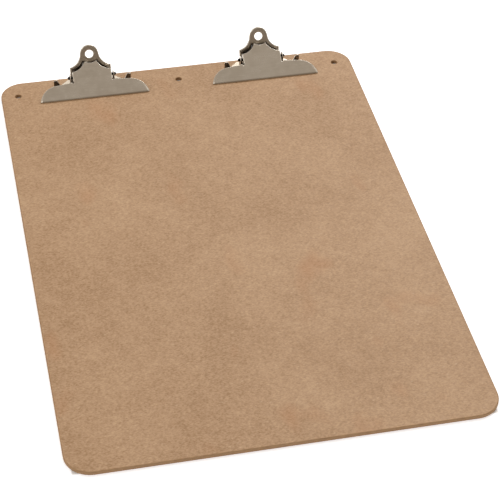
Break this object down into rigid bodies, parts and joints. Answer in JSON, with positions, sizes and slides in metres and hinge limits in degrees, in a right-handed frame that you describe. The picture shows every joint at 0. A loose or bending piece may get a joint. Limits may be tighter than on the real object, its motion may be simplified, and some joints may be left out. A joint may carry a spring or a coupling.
{
  "type": "clipboard",
  "caption": "Ledger-size hardboard clipboard with sprung lever clips side by side along its top edge, each with a hanging ring, and hanging holes through the board.",
  "frame": {"origin": "centre of the board's flat back face", "axes": "+X across the board to the right, +Y along the board towards the clips, +Z out of the writing face"},
  "size_m": [0.3174, 0.4744, 0.0345],
  "materials": {
    "hardboard": "smooth pressed-fibre hardboard, plain and uncoated",
    "nickel_plate": "satin nickel plate on stamped steel sheet",
    "steel_wire": "drawn steel, dark and lightly oiled",
    "rivet_metal": "nickel-plated semi-tubular steel rivet"
  },
  "bodies": {
    "root": {"board": "hardboard", "left_base_plate": "nickel_plate", "left_hinge_pin": "steel_wire", "left_spring": "steel_wire", "left_outer_rivet": "rivet_metal", "left_inner_rivet": "rivet_metal", "right_base_plate": "nickel_plate", "right_hinge_pin": "steel_wire", "right_spring": "steel_wire", "right_outer_rivet": "rivet_metal", "right_inner_rivet": "rivet_metal"},
    "left_jaw": {"left_jaw_plate": "nickel_plate"},
    "right_jaw": {"right_jaw_plate": "nickel_plate"}
  },
  "joints": [
    {"name": "left_jaw_hinge", "type": "hinge", "parent": "root", "child": "left_jaw", "pos_m": [-0.077, 0.2215, 0.0124], "axis": [-1, 0, 0], "range_deg": [0, 18], "stiffness_Nm_per_rad": 0.5, "springref_deg": -34.38, "deforming": ["left_spring"]},
    {"name": "right_jaw_hinge", "type": "hinge", "parent": "root", "child": "right_jaw", "pos_m": [0.077, 0.2215, 0.0124], "axis": [-1, 0, 0], "range_deg": [0, 18], "stiffness_Nm_per_rad": 0.5, "springref_deg": -34.38, "deforming": ["right_spring"]}
  ]
}
